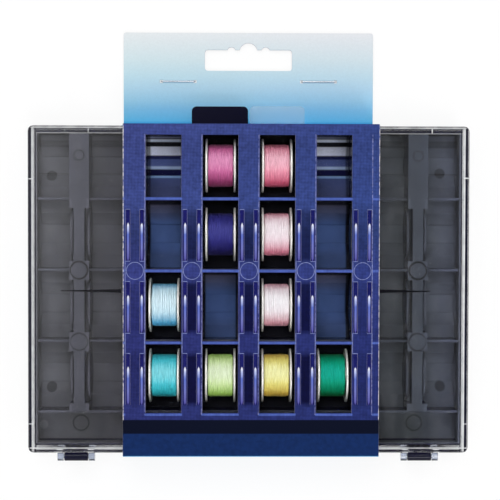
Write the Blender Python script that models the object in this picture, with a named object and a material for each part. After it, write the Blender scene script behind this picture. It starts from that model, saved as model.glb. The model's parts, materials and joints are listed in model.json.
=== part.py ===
"""Bobbin box: a shallow hinged case for sewing-machine bobbins, on its display card.

The case lies on its feet, +Z up. +X is to the right and +Y runs towards the opening
tabs, so the hinges are at -Y. Every length is in metres. The case is laid out around
the bobbins it holds: cells, bars and dividers take their sizes from the bobbin.
"""

import math

import bmesh
import bpy
from mathutils import Matrix, Vector

mm = 0.001

# Clearances
part_gap = 0.3 * mm
cutter_overrun = 1.0 * mm
seam_overlap = 0.4 * mm

# Bobbins
flange_radius = 10.25 * mm
flange_thickness = 0.8 * mm
bobbin_width = 11.7 * mm
core_radius = 3.6 * mm
bore_radius = 3.0 * mm
thread_radius = 8.2 * mm
thread_crown = 0.35 * mm
thread_shoulder = 0.9 * mm
round_sides = 24

# Cells
column_count = 8
row_count = 4
cell_side_clearance = 1.06 * mm
end_cell_side_clearance = 0.45 * mm
cell_end_clearance = 2.75 * mm
first_cell_end_clearance = 1.95 * mm
bar_width = 7.5 * mm
divider_thickness = 1.0 * mm
trough_length = 11.6 * mm

# Case walls
floor_thickness = 1.5 * mm
base_wall = 1.5 * mm
lid_wall = 1.2 * mm
lip_thickness = 0.9 * mm
lid_thickness = 1.4 * mm
corner_radius = 2.0 * mm
inner_corner_radius = 0.4 * mm
corner_steps = 4
base_chamfer = 0.6 * mm
lid_chamfer = 0.5 * mm
base_wall_height = 11.9 * mm
lip_height = 2.3 * mm
lip_band_depth = 3.5 * mm

# Feet
foot_height = 1.6 * mm
foot_radius = 2.2 * mm
foot_inset = 8.21 * mm
foot_inset_tab_side = 18.4 * mm
foot_inset_hinge_side = 22.4 * mm
foot_sides = 16

# Column bars
bar_height = 17.8 * mm
bar_top_wall = 1.2 * mm
bar_hollow_width = 1.8 * mm
finger_recess = 1.75 * mm
bar_pad_half_length = 3.6 * mm
boss_radius = 3.1 * mm
boss_height = 0.5 * mm

# Row dividers and the curved seats at their feet
divider_height = 13.5 * mm
seat_low_angle = math.radians(20.0)
seat_high_angle = math.radians(50.0)
seat_steps = 4

# Hinges
hinge_inset = 16.91 * mm
hinge_reach = 3.2 * mm
knuckle_radius = 1.8 * mm
hinge_block_width = 9.0 * mm
hinge_ear_width = 2.3 * mm
hinge_stub_radius = 0.8 * mm
hinge_stub_length = 2.6 * mm
knuckle_sides = 20

# Opening tabs
tab_reach = 8.0 * mm
tab_thickness = 1.6 * mm
tab_corner_radius = 1.8 * mm
base_tab_width = 21.5 * mm
lid_tab_width = 21.0 * mm
tab_spacing = 0.5 * mm

# Display card
card_width = 97.0 * mm
card_front_width = 96.2 * mm
card_front_offset = 0.9 * mm
card_thickness = 0.5 * mm
card_fold_radius = 0.7 * mm
card_fold_steps = 4
card_hinge_gap = 1.0 * mm
card_slit = 0.6 * mm
card_tab_clearance = 0.5 * mm
header_length = 37.3 * mm
header_corner_radius = 1.0 * mm
window_clearance = 0.25 * mm
window_bridge = 1.2 * mm
window_top_margin = 1.0 * mm
first_window_column = 2
window_column_count = 4

# Hang hole, from the top edge of the header
hang_hole_bottom = 14.7 * mm
hang_hole_shoulder = 6.6 * mm
hang_hole_width = 33.9 * mm
hang_hole_corner = 1.2 * mm
hang_bump_radius = 3.5 * mm
hang_bump_top = 3.9 * mm
hang_side_bump_radius = 1.6 * mm
hang_side_bump_x = 6.65 * mm
hang_side_bump_top = 5.5 * mm

# Staples
staple_length = 13.6 * mm
staple_wire = 0.5 * mm
staple_inset = 21.2 * mm
staple_from_top = 18.9 * mm
staple_clinch = 3.6 * mm
staple_hole_clearance = 0.3 * mm

# Heights worked out from the sizes above
floor_bottom = foot_height
floor_top = floor_bottom + floor_thickness
bobbin_axis_z = floor_top + part_gap + flange_radius
lid_underside = bobbin_axis_z + flange_radius + part_gap
lid_top = lid_underside + lid_thickness
base_top = floor_bottom + base_wall_height
lid_bottom = base_top + part_gap
lip_top = base_top + lip_height
hinge_z = base_top + part_gap / 2
piece_bottom = floor_top + part_gap
bar_top = piece_bottom + bar_height
divider_top = piece_bottom + divider_height
card_low_z = foot_height - part_gap - card_thickness / 2
header_front_z = card_low_z + card_thickness + part_gap
card_top_z = lid_top + part_gap + card_thickness / 2

# Plan sizes worked out from the sizes above
rim = lid_wall + part_gap + lip_thickness
cell_width = bobbin_width + 2 * cell_side_clearance
end_cell_width = bobbin_width + 2 * end_cell_side_clearance
column_pitch = cell_width + bar_width
row_length = 2 * (flange_radius + cell_end_clearance)
first_row_length = 2 * (flange_radius + first_cell_end_clearance)
row_pitch = row_length + divider_thickness
bar_count = column_count - 1
inner_width = (column_count - 2) * cell_width + 2 * end_cell_width + bar_count * bar_width
inner_depth = (
    first_row_length
    + (row_count - 1) * row_length
    + row_count * divider_thickness
    + trough_length
)
box_width = inner_width + 2 * rim
box_depth = inner_depth + 2 * rim
half_depth = box_depth / 2
inner_x = inner_width / 2
inner_y = inner_depth / 2
seat_radius = flange_radius + part_gap
hinge_x = box_width / 2 - hinge_inset
hinge_y = -half_depth - hinge_reach
card_tab_side_y = half_depth + part_gap + card_thickness / 2
card_hinge_side_y = -half_depth - card_hinge_gap - card_thickness / 2
header_top_y = half_depth + header_length
low_y = hinge_y - knuckle_radius
box_centre_y = -(header_top_y + low_y) / 2
staple_x = card_width / 2 - staple_inset


def divider_y(index):
    """Return the middle of a divider; divider 0 is nearest the opening tabs."""
    return inner_y - first_row_length - divider_thickness / 2 - index * row_pitch


def row_y(index):
    """Return the middle of a row of cells; row 0 is nearest the opening tabs."""
    if index == 0:
        return inner_y - first_row_length / 2
    return (divider_y(index - 1) + divider_y(index)) / 2


def bar_x(index):
    """Return the middle of a column bar, from left to right."""
    return (index - (bar_count - 1) / 2) * column_pitch


def cell_edges(column):
    """Return the left and right faces that bound one column of cells."""
    left = -inner_x
    right = inner_x
    if column > 0:
        left = bar_x(column - 1) + bar_width / 2
    if column < column_count - 1:
        right = bar_x(column) - bar_width / 2
    return left, right


def arc(centre, radius, start, end, steps):
    """Return points of an arc about centre, from angle start to angle end."""
    points = []
    for index in range(steps + 1):
        angle = start + (end - start) * index / steps
        points.append(
            (centre[0] + radius * math.cos(angle), centre[1] + radius * math.sin(angle))
        )
    return points


def rounded_rectangle(width, depth, radius, steps, centre=(0.0, 0.0)):
    """Return a rectangle's outline with round corners, counter-clockwise."""
    points = []
    quarter = math.pi / 2
    corner_signs = ((1, 1), (-1, 1), (-1, -1), (1, -1))
    for index, (sign_x, sign_y) in enumerate(corner_signs):
        corner = (
            centre[0] + sign_x * (width / 2 - radius),
            centre[1] + sign_y * (depth / 2 - radius),
        )
        points += arc(corner, radius, index * quarter, (index + 1) * quarter, steps)
    return points


def finished_mesh(shape, name):
    """Turn a bmesh into a closed mesh whose faces point outwards."""
    bmesh.ops.recalc_face_normals(shape, faces=shape.faces)
    mesh = bpy.data.meshes.new(name)
    shape.to_mesh(mesh)
    shape.free()
    return mesh


def add_object(mesh, name):
    """Link a mesh to the scene as an object."""
    item = bpy.data.objects.new(name, mesh)
    bpy.context.scene.collection.objects.link(item)
    return item


def add_prism(shape, outline, low, high, axis):
    """Add an outline pulled from low to high along an axis to a bmesh."""
    def place(point, height):
        if axis == "X":
            return Vector((height, point[0], point[1]))
        if axis == "Y":
            return Vector((point[0], height, point[1]))
        return Vector((point[0], point[1], height))

    lower = [shape.verts.new(place(point, low)) for point in outline]
    upper = [shape.verts.new(place(point, high)) for point in outline]
    count = len(outline)
    shape.faces.new(lower)
    shape.faces.new(upper)
    for index in range(count):
        after = (index + 1) % count
        shape.faces.new((lower[index], lower[after], upper[after], upper[index]))


def prism(name, outline, low, high, axis="Z"):
    """Make one object from an outline pulled along an axis."""
    shape = bmesh.new()
    add_prism(shape, outline, low, high, axis)
    return add_object(finished_mesh(shape, name), name)


def block_outline(low, high):
    """Return the four corners of a rectangle between two opposite corners."""
    return [(low[0], low[1]), (high[0], low[1]), (high[0], high[1]), (low[0], high[1])]


def shell(name, loops):
    """Make a closed body from matching outlines at their heights, capped at both ends."""
    shape = bmesh.new()
    rings = []
    for outline, height in loops:
        rings.append([shape.verts.new((x, y, height)) for x, y in outline])
    for lower, upper in zip(rings, rings[1:]):
        count = len(lower)
        for index in range(count):
            after = (index + 1) % count
            shape.faces.new((lower[index], lower[after], upper[after], upper[index]))
    shape.faces.new(rings[0])
    shape.faces.new(rings[-1])
    return add_object(finished_mesh(shape, name), name)


def turned_mesh(name, profile, sides):
    """Turn a closed profile of (x, radius) points about the X axis."""
    shape = bmesh.new()
    rings = []
    for side in range(sides):
        angle = 2 * math.pi * side / sides
        rings.append([
            shape.verts.new((x, radius * math.cos(angle), radius * math.sin(angle)))
            for x, radius in profile
        ])
    count = len(profile)
    for side, ring in enumerate(rings):
        following = rings[(side + 1) % sides]
        for index in range(count):
            after = (index + 1) % count
            shape.faces.new((ring[index], ring[after], following[after], following[index]))
    mesh = finished_mesh(shape, name)
    mesh.shade_smooth()
    mesh.set_sharp_from_angle(angle=math.radians(40.0))
    return mesh


def combine(target, operand, operation):
    """Join an operand to a target, or cut it away, and remove the operand."""
    modifier = target.modifiers.new(operation.lower(), 'BOOLEAN')
    modifier.operation = operation
    modifier.object = operand
    modifier.solver = 'EXACT'
    graph = bpy.context.evaluated_depsgraph_get()
    shaped = bpy.data.meshes.new_from_object(target.evaluated_get(graph))
    target.modifiers.clear()
    target.data = shaped
    bpy.data.objects.remove(operand)


def fuse(target, operand):
    """Join an operand to a target."""
    combine(target, operand, 'UNION')


def cut(target, operand):
    """Cut an operand out of a target."""
    combine(target, operand, 'DIFFERENCE')


def rounded_path(corners, radius, steps):
    """Return a path through corners, with every inner corner turned on an arc."""
    path = [Vector(corners[0])]
    for before, corner, after in zip(corners, corners[1:], corners[2:]):
        corner = Vector(corner)
        inward = (Vector(before) - corner).normalized()
        outward = (Vector(after) - corner).normalized()
        centre = corner + radius * (inward + outward)
        start = -outward
        end = -inward
        for index in range(steps + 1):
            angle = math.pi / 2 * index / steps
            path.append(centre + radius * (math.cos(angle) * start + math.sin(angle) * end))
    path.append(Vector(corners[-1]))
    return path


def thick_outline(path, thickness):
    """Return the outline of a sheet of even thickness that follows a path."""
    left = []
    right = []
    for index, point in enumerate(path):
        before = path[max(index - 1, 0)]
        after = path[min(index + 1, len(path) - 1)]
        arriving = (point - before).normalized() if index > 0 else (after - point).normalized()
        leaving = (after - point).normalized() if index < len(path) - 1 else arriving
        direction = (arriving + leaving).normalized()
        normal = Vector((-direction.y, direction.x))
        reach = thickness / 2 / max(direction.dot(leaving), 0.5)
        left.append(tuple(point + reach * normal))
        right.append(tuple(point - reach * normal))
    return left + right[::-1]


def material(name, colour, roughness, metallic=0.0, alpha=1.0):
    """Make a plain Principled material."""
    made = bpy.data.materials.new(name)
    made.use_nodes = True
    shader = made.node_tree.nodes["Principled BSDF"]
    shader.inputs["Base Color"].default_value = (*colour, 1.0)
    shader.inputs["Roughness"].default_value = roughness
    shader.inputs["Metallic"].default_value = metallic
    shader.inputs["Alpha"].default_value = alpha
    made.diffuse_color = (*colour, alpha)
    return made


def place(item, finish, origin=(0.0, 0.0, 0.0)):
    """Give an object its finish, its origin and its place in the case's frame."""
    origin = Vector(origin)
    item.data.transform(Matrix.Translation(-origin))
    item.data.materials.clear()
    item.data.materials.append(finish)
    item.location = origin
    item.parent = case_frame


def case_outline(inset, radius):
    """Return the case's plan outline, drawn in by inset."""
    return rounded_rectangle(box_width - 2 * inset, box_depth - 2 * inset, radius, corner_steps)


def knuckle(name, centre_x, width):
    """Return a round hinge knuckle on the hinge axis."""
    outline = arc((hinge_y, hinge_z), knuckle_radius, 0.0, 2 * math.pi, knuckle_sides)[:-1]
    return prism(name, outline, centre_x - width / 2, centre_x + width / 2, "X")


def hinge_rod(name, radius, low, high):
    """Return a round rod on the hinge axis, from low to high along X."""
    outline = arc((hinge_y, hinge_z), radius, 0.0, 2 * math.pi, knuckle_sides)[:-1]
    return prism(name, outline, low, high, "X")


def tab(name, low_x, high_x, low_z):
    """Return an opening tab with round outer corners, rooted in the case wall."""
    outer = half_depth + tab_reach
    root = half_depth - seam_overlap
    quarter = math.pi / 2
    outline = [(low_x, root), (high_x, root)]
    right = (high_x - tab_corner_radius, outer - tab_corner_radius)
    left = (low_x + tab_corner_radius, outer - tab_corner_radius)
    outline += arc(right, tab_corner_radius, 0.0, quarter, corner_steps)
    outline += arc(left, tab_corner_radius, quarter, 2 * quarter, corner_steps)
    return prism(name, outline, low_z, low_z + tab_thickness)


def make_base_shell():
    """Floor, walls and lip of the case, with its feet, tab and hinge blocks."""
    lip_inset = lid_wall + part_gap
    lip_radius = max(corner_radius - lip_inset, inner_corner_radius)
    band_low = base_top - lip_band_depth
    slope = rim - base_wall
    loops = [
        (case_outline(base_chamfer, corner_radius - base_chamfer), floor_bottom),
        (case_outline(0.0, corner_radius), floor_bottom + base_chamfer),
        (case_outline(0.0, corner_radius), base_top),
        (case_outline(lip_inset, lip_radius), base_top),
        (case_outline(lip_inset, lip_radius), lip_top),
        (case_outline(rim, inner_corner_radius), lip_top),
        (case_outline(rim, inner_corner_radius), band_low),
        (case_outline(base_wall, inner_corner_radius), band_low - slope),
        (case_outline(base_wall, inner_corner_radius), floor_top),
    ]
    base = shell("base_shell", loops)
    foot_x = box_width / 2 - foot_inset
    for side in (-1, 1):
        for foot_y in (half_depth - foot_inset_tab_side, foot_inset_hinge_side - half_depth):
            centre = (side * foot_x, foot_y)
            outline = arc(centre, foot_radius, 0.0, 2 * math.pi, foot_sides)[:-1]
            fuse(base, prism("foot", outline, 0.0, floor_bottom + seam_overlap))
    low_x = -tab_spacing / 2 - base_tab_width
    fuse(base, tab("base_tab", low_x, -tab_spacing / 2, base_top - tab_thickness))
    for side in (-1, 1):
        centre_x = side * hinge_x
        low = centre_x - hinge_block_width / 2
        high = centre_x + hinge_block_width / 2
        block = knuckle("hinge_block", centre_x, hinge_block_width)
        web = block_outline(
            (hinge_y, hinge_z - knuckle_radius),
            (-half_depth + seam_overlap, base_top),
        )
        fuse(block, prism("hinge_web", web, low, high, "X"))
        fuse(base, block)
        bore = hinge_stub_radius + part_gap
        cut(base, hinge_rod("hinge_bore", bore, low - cutter_overrun, high + cutter_overrun))
    place(base, navy_plastic)


def make_lid_shell():
    """Clear lid: top plate and skirt, with its tab, hinge ears and their stubs."""
    lid_inner_radius = max(corner_radius - lid_wall, inner_corner_radius)
    loops = [
        (case_outline(lid_chamfer, corner_radius - lid_chamfer), lid_top),
        (case_outline(0.0, corner_radius), lid_top - lid_chamfer),
        (case_outline(0.0, corner_radius), lid_bottom),
        (case_outline(lid_wall, lid_inner_radius), lid_bottom),
        (case_outline(lid_wall, lid_inner_radius), lid_underside),
    ]
    lid = shell("lid_shell", loops)
    fuse(lid, tab("lid_tab", tab_spacing / 2, tab_spacing / 2 + lid_tab_width, lid_bottom))
    ear_offset = hinge_block_width / 2 + part_gap + hinge_ear_width / 2
    for side in (-1, 1):
        for ear_side in (-1, 1):
            ear_x = side * hinge_x + ear_side * ear_offset
            low = ear_x - hinge_ear_width / 2
            high = ear_x + hinge_ear_width / 2
            ear = knuckle("hinge_ear", ear_x, hinge_ear_width)
            web = block_outline(
                (hinge_y, lid_bottom),
                (-half_depth + seam_overlap, hinge_z + knuckle_radius),
            )
            fuse(ear, prism("hinge_web", web, low, high, "X"))
            face = ear_x - ear_side * hinge_ear_width / 2
            tip = face - ear_side * (part_gap + hinge_stub_length)
            root = face + ear_side * seam_overlap
            stub = hinge_rod("hinge_stub", hinge_stub_radius, min(tip, root), max(tip, root))
            fuse(ear, stub)
            fuse(lid, ear)
    place(lid, clear_plastic, (0.0, hinge_y, hinge_z))


def seat_arc(row, side):
    """Return a curved seat's points beside a row, from its thin edge up to its ledge."""
    points = []
    for index in range(seat_steps + 1):
        angle = seat_low_angle + (seat_high_angle - seat_low_angle) * index / seat_steps
        points.append((
            row_y(row) + side * seat_radius * math.sin(angle),
            bobbin_axis_z - seat_radius * math.cos(angle),
        ))
    return points


def bar_plan():
    """Plan outline of a column bar, drawn in beside every row but the first."""
    outer = bar_width / 2
    inner = outer - finger_recess
    last_y = divider_y(row_count - 1) + divider_thickness / 2 + part_gap
    side = [(outer, inner_y - part_gap)]
    for index in range(row_count - 1):
        start = divider_y(index) - bar_pad_half_length
        end = divider_y(index + 1) + bar_pad_half_length
        side += [(outer, start), (inner, start), (inner, end), (outer, end)]
    side.append((outer, last_y))
    return side + [(-x, y) for x, y in reversed(side)]


def bar_side():
    """Side outline of a column bar, stepped over the seats and dividers it crosses."""
    over_ledge = bobbin_axis_z - seat_radius * math.cos(seat_high_angle) + part_gap
    over_divider = divider_top + part_gap
    first_y = inner_y - part_gap
    outline = [(first_y, bar_top), (first_y, over_ledge)]
    edge = seat_arc(0, 1)[0][0] - part_gap
    outline += [(edge, over_ledge), (edge, piece_bottom)]
    for index in range(row_count):
        edge = seat_arc(index, -1)[0][0] + part_gap
        near = divider_y(index) + divider_thickness / 2 + part_gap
        far = divider_y(index) - divider_thickness / 2 - part_gap
        outline += [(edge, piece_bottom), (edge, over_ledge), (near, over_ledge)]
        if index < row_count - 1:
            edge = seat_arc(index + 1, 1)[0][0] - part_gap
            outline += [(near, over_divider), (far, over_divider), (far, over_ledge)]
            outline += [(edge, over_ledge), (edge, piece_bottom)]
        else:
            outline.append((near, bar_top))
    return outline


def make_column_bars():
    """The hollow bars that stand between the columns of cells."""
    pattern = prism("bar_pattern", bar_plan(), 0.0, bar_top)
    side = bar_width / 2 + cutter_overrun
    combine(pattern, prism("bar_side", bar_side(), -side, side, "X"), 'INTERSECT')
    for index in (1, 2):
        centre = (0.0, divider_y(index))
        outline = arc(centre, boss_radius, 0.0, 2 * math.pi, round_sides)[:-1]
        fuse(pattern, prism("boss", outline, bar_top - seam_overlap, bar_top + boss_height))
    hollow = block_outline(
        (-bar_hollow_width / 2, divider_y(row_count - 1) + divider_thickness + bar_top_wall),
        (bar_hollow_width / 2, inner_y - part_gap - bar_top_wall),
    )
    cut(pattern, prism("hollow", hollow, piece_bottom - cutter_overrun, bar_top - bar_top_wall))
    mesh = pattern.data
    mesh.name = "column_bar"
    mesh.materials.append(navy_plastic)
    bpy.data.objects.remove(pattern)
    for index in range(bar_count):
        bar = add_object(mesh, f"column_bar_{index + 1}")
        bar.location = (bar_x(index), 0.0, 0.0)
        bar.parent = case_frame


def full_width(name, outline):
    """Make one piece that crosses the whole case from an outline in side view."""
    reach = inner_x - part_gap
    place(prism(name, outline, -reach, reach, "X"), navy_plastic)


def make_row_dividers():
    """Dividers between the rows, with a curved bobbin seat on each side of their feet."""
    for index in range(row_count):
        near = divider_y(index) + divider_thickness / 2
        far = divider_y(index) - divider_thickness / 2
        seat = seat_arc(index, -1)
        ledge_z = seat[-1][1]
        outline = [(seat[0][0], piece_bottom)] + seat
        outline += [(near, ledge_z), (near, divider_top), (far, divider_top)]
        if index < row_count - 1:
            next_seat = seat_arc(index + 1, 1)
            outline += [(far, ledge_z)] + next_seat[::-1] + [(next_seat[0][0], piece_bottom)]
        else:
            outline.append((far, piece_bottom))
        full_width(f"row_divider_{index + 1}", outline)
    seat = seat_arc(0, 1)
    back = inner_y - part_gap
    outline = [(seat[0][0], piece_bottom)] + seat + [(back, seat[-1][1]), (back, piece_bottom)]
    full_width("end_seat", outline)


def spool_mesh():
    """A metal bobbin: two flanges on a hollow core."""
    half = bobbin_width / 2
    inside = half - flange_thickness
    profile = [
        (-half, bore_radius), (-half, flange_radius), (-inside, flange_radius),
        (-inside, core_radius), (inside, core_radius), (inside, flange_radius),
        (half, flange_radius), (half, bore_radius),
    ]
    return turned_mesh("spool", profile, round_sides)


def thread_mesh(radius):
    """The wound thread: a slightly crowned barrel around the core."""
    half = bobbin_width / 2 - flange_thickness - part_gap
    inner = core_radius + part_gap
    edge = radius - thread_crown
    profile = [
        (-half, inner), (-half, edge), (-half + thread_shoulder, radius),
        (half - thread_shoulder, radius), (half, edge), (half, inner),
    ]
    return turned_mesh("thread", profile, round_sides)


def make_bobbins():
    """Ten bobbins, each a spool and its thread, seated in the cells they are stored in."""
    spool = spool_mesh()
    spool.materials.append(bright_metal)
    for row, labels in enumerate(tray_layout):
        for column, label in enumerate(labels):
            if label is None:
                continue
            left, right = cell_edges(column)
            centre = ((left + right) / 2, row_y(row), bobbin_axis_z)
            body = add_object(spool, f"spool_{label}")
            body.location = centre
            body.parent = case_frame
            winding = add_object(thread_mesh(thread_radius), f"thread_{label}")
            winding.data.materials.append(material(f"thread_{label}", thread_colours[label], 0.6))
            winding.location = centre
            winding.parent = case_frame


def folded_card(name, corners, width, centre_x=0.0):
    """Make a strip of card of one width, folded along a path."""
    path = rounded_path(corners, card_fold_radius, card_fold_steps)
    outline = thick_outline(path, card_thickness)
    return prism(name, outline, centre_x - width / 2, centre_x + width / 2, "X")


def cut_hang_hole(card):
    """Cut the peg hole: a wide slot with one large and two small round bumps."""
    low = header_top_y - hang_hole_bottom
    high = header_top_y - hang_hole_shoulder
    under = card_low_z - card_thickness - cutter_overrun
    over = header_front_z + card_thickness + cutter_overrun
    slot = rounded_rectangle(
        hang_hole_width, high - low, hang_hole_corner, corner_steps, (0.0, (low + high) / 2)
    )
    hole = prism("hang_slot", slot, under, over)
    bumps = [(0.0, hang_bump_top, hang_bump_radius)]
    for side in (-1, 1):
        bumps.append((side * hang_side_bump_x, hang_side_bump_top, hang_side_bump_radius))
    for x, top, radius in bumps:
        centre = (x, header_top_y - top - radius)
        outline = arc(centre, radius, 0.0, 2 * math.pi, round_sides)[:-1]
        fuse(hole, prism("hang_bump", outline, under, over))
    cut(card, hole)


def cut_staple_holes(card):
    """Cut the four small holes that the staple legs pass through."""
    y = header_top_y - staple_from_top
    half = staple_wire / 2 + staple_hole_clearance
    under = card_low_z - card_thickness - cutter_overrun
    over = header_front_z + card_thickness + cutter_overrun
    shape = bmesh.new()
    for side in (-1, 1):
        for leg in (-1, 1):
            x = side * staple_x + leg * (staple_length - staple_wire) / 2
            outline = block_outline((x - half, y - half), (x + half, y + half))
            add_prism(shape, outline, under, over, "Z")
    cut(card, add_object(finished_mesh(shape, "staple_holes"), "staple_holes"))


def trim_header_corners(card):
    """Round the two outer corners of the header."""
    under = card_low_z - card_thickness - cutter_overrun
    over = header_front_z + card_thickness + cutter_overrun
    for side in (-1, 1):
        edge = side * card_width / 2
        centre = (edge - side * header_corner_radius, header_top_y - header_corner_radius)
        quarter = math.pi / 2
        points = arc(centre, header_corner_radius, quarter - side * quarter, quarter, corner_steps)
        outline = points + [
            (centre[0], header_top_y + cutter_overrun),
            (edge + side * cutter_overrun, header_top_y + cutter_overrun),
            (edge + side * cutter_overrun, centre[1]),
        ]
        cut(card, prism("corner", outline, under, over))


def make_display_card():
    """The card wrapped round the case: back and header, header front, and front panel."""
    slit_low = hinge_z - card_slit / 2
    slit_high = hinge_z + card_slit / 2
    back = folded_card("card_back_and_header", [
        (header_top_y, card_low_z),
        (card_hinge_side_y, card_low_z),
        (card_hinge_side_y, slit_low),
    ], card_width)
    cut_hang_hole(back)
    cut_staple_holes(back)
    trim_header_corners(back)
    place(back, header_card)

    front = folded_card("card_header_front", [
        (header_top_y, header_front_z),
        (card_tab_side_y, header_front_z),
        (card_tab_side_y, slit_low),
    ], card_width)
    cut_hang_hole(front)
    cut_staple_holes(front)
    trim_header_corners(front)
    notch_near = half_depth - cutter_overrun
    notch_far = card_tab_side_y + card_thickness + cutter_overrun
    base_notch = block_outline(
        (-tab_spacing / 2 - base_tab_width - card_tab_clearance, notch_near),
        (card_tab_clearance, notch_far),
    )
    notch_floor = base_top - tab_thickness - card_tab_clearance
    cut(front, prism("base_tab_notch", base_notch, notch_floor, slit_low + cutter_overrun))
    place(front, header_card)

    panel = folded_card("card_front_panel", [
        (card_tab_side_y, slit_high),
        (card_tab_side_y, card_top_z),
        (card_hinge_side_y, card_top_z),
        (card_hinge_side_y, slit_high),
    ], card_front_width, card_front_offset)
    lid_notch = block_outline(
        (-card_tab_clearance, notch_near),
        (tab_spacing / 2 + lid_tab_width + card_tab_clearance, notch_far),
    )
    notch_roof = lid_bottom + tab_thickness + card_tab_clearance
    cut(panel, prism("lid_tab_notch", lid_notch, slit_high - cutter_overrun, notch_roof))
    cut(panel, card_windows())
    place(panel, blue_card, (0.0, hinge_y, hinge_z))


def card_windows():
    """Return the cutter for the card's windows, one over each cell of its columns."""
    shape = bmesh.new()
    for step in range(window_column_count):
        left, right = cell_edges(first_window_column + step)
        for row in range(row_count):
            high = inner_y - window_top_margin
            if row > 0:
                high = divider_y(row - 1) - window_bridge / 2
            low = divider_y(row) + window_bridge / 2
            outline = block_outline(
                (left + window_clearance, low), (right - window_clearance, high)
            )
            add_prism(shape, outline, lid_top, card_top_z + card_thickness, "Z")
    return add_object(finished_mesh(shape, "windows"), "windows")


def make_staples():
    """Two wire staples that hold the header's layers together."""
    y = header_top_y - staple_from_top
    crown_z = header_front_z + card_thickness / 2 + part_gap + staple_wire / 2
    clinch_z = card_low_z - card_thickness / 2 - part_gap / 2 - staple_wire / 2
    half = (staple_length - staple_wire) / 2
    path = [
        Vector((-half + staple_clinch, clinch_z)),
        Vector((-half, clinch_z)),
        Vector((-half, crown_z)),
        Vector((half, crown_z)),
        Vector((half, clinch_z)),
        Vector((half - staple_clinch, clinch_z)),
    ]
    outline = thick_outline(path, staple_wire)
    for name, side in (("staple_left", -1), ("staple_right", 1)):
        staple = prism(name, outline, y - staple_wire / 2, y + staple_wire / 2, "Y")
        staple.data.transform(Matrix.Translation((side * staple_x, 0.0, 0.0)))
        place(staple, steel_wire)


# The bobbin in each cell, row by row from the opening tabs and column by column from -X
tray_layout = (
    (None, None, None, "magenta", "rose", None, None, None),
    (None, None, None, "indigo", "light_pink", None, None, None),
    (None, None, "sky_blue", None, "pale_pink", None, None, None),
    (None, None, "turquoise", "lime", "yellow", "green", None, None),
)
thread_colours = {
    "magenta": (0.62, 0.06, 0.30),
    "rose": (0.85, 0.10, 0.32),
    "indigo": (0.05, 0.02, 0.22),
    "light_pink": (0.88, 0.35, 0.48),
    "sky_blue": (0.30, 0.62, 0.85),
    "pale_pink": (0.88, 0.60, 0.66),
    "turquoise": (0.02, 0.60, 0.66),
    "lime": (0.45, 0.75, 0.15),
    "yellow": (0.90, 0.80, 0.05),
    "green": (0.00, 0.35, 0.16),
}

for item in list(bpy.data.objects):
    bpy.data.objects.remove(item)

case_frame = bpy.data.objects.new("case_frame", None)
bpy.context.scene.collection.objects.link(case_frame)
case_frame.location = (0.0, box_centre_y, 0.0)

navy_plastic = material("navy_plastic", (0.012, 0.010, 0.060), 0.35)
clear_plastic = material("clear_plastic", (0.85, 0.88, 0.90), 0.08, alpha=0.25)
bright_metal = material("bright_metal", (0.80, 0.80, 0.78), 0.25, metallic=1.0)
steel_wire = material("steel_wire", (0.55, 0.56, 0.58), 0.30, metallic=1.0)
header_card = material("header_card", (0.40, 0.70, 0.88), 0.55)
blue_card = material("blue_card", (0.035, 0.060, 0.300), 0.50)

make_base_shell()
make_lid_shell()
make_column_bars()
make_row_dividers()
make_bobbins()
make_display_card()
make_staples()
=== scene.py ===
"""Looks of the bobbin box: finishes, fine shapes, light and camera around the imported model."""

import json
import math
import random

import bmesh
import bpy
from mathutils import Matrix, Vector


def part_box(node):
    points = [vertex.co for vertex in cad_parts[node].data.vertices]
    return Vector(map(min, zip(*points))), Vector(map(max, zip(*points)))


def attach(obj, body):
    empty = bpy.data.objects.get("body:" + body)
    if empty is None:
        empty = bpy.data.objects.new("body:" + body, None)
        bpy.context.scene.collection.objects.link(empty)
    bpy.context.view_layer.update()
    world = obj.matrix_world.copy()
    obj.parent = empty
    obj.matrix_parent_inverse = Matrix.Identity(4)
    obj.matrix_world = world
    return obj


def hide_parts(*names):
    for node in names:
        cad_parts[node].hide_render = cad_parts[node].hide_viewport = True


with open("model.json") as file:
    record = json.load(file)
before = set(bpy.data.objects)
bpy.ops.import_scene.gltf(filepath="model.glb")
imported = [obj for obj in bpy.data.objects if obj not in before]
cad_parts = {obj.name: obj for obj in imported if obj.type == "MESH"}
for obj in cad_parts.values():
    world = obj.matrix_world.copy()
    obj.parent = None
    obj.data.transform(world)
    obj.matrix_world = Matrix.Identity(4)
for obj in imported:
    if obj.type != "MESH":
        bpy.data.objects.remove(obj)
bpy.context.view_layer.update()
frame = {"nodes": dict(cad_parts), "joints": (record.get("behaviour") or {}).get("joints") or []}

mm = 0.001

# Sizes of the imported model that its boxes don't give
part_gap = 0.3 * mm
floor_top = 3.1 * mm
bar_half = 3.75 * mm
pad_half_length = 3.6 * mm
hinge_reach = 3.2 * mm
flange_radius = 10.25 * mm
core_radius = 3.6 * mm
bore_radius = 3.0 * mm
thread_radius = 8.2 * mm
staple_wire = 0.5 * mm


def middle(node):
    """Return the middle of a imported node's box."""
    low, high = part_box(node)
    return (low + high) / 2


# Places read from the frame
panel_low, panel_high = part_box("card_front_panel")
inner_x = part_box("end_seat")[1].x + part_gap
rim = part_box("base_shell")[1].x - inner_x
tab_side_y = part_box("card_header_front")[0].y - part_gap
hinge_side_y = frame["joints"][0]["pos_m"][1] + hinge_reach
inner_tab_y = tab_side_y - rim
inner_hinge_y = hinge_side_y + rim
row_y = [middle(f"spool_{label}").y for label in ("magenta", "indigo", "sky_blue", "lime")]
row_pitch = row_y[1] - row_y[2]
divider_y = [row_y[1] + row_pitch / 2 - index * row_pitch for index in range(4)]
bar_x = [middle(f"column_bar_{index + 1}").x for index in range(7)]
bar_pitch = bar_x[1] - bar_x[0]
divider_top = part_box("row_divider_1")[1].z
lid_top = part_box("lid_shell")[1].z


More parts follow.
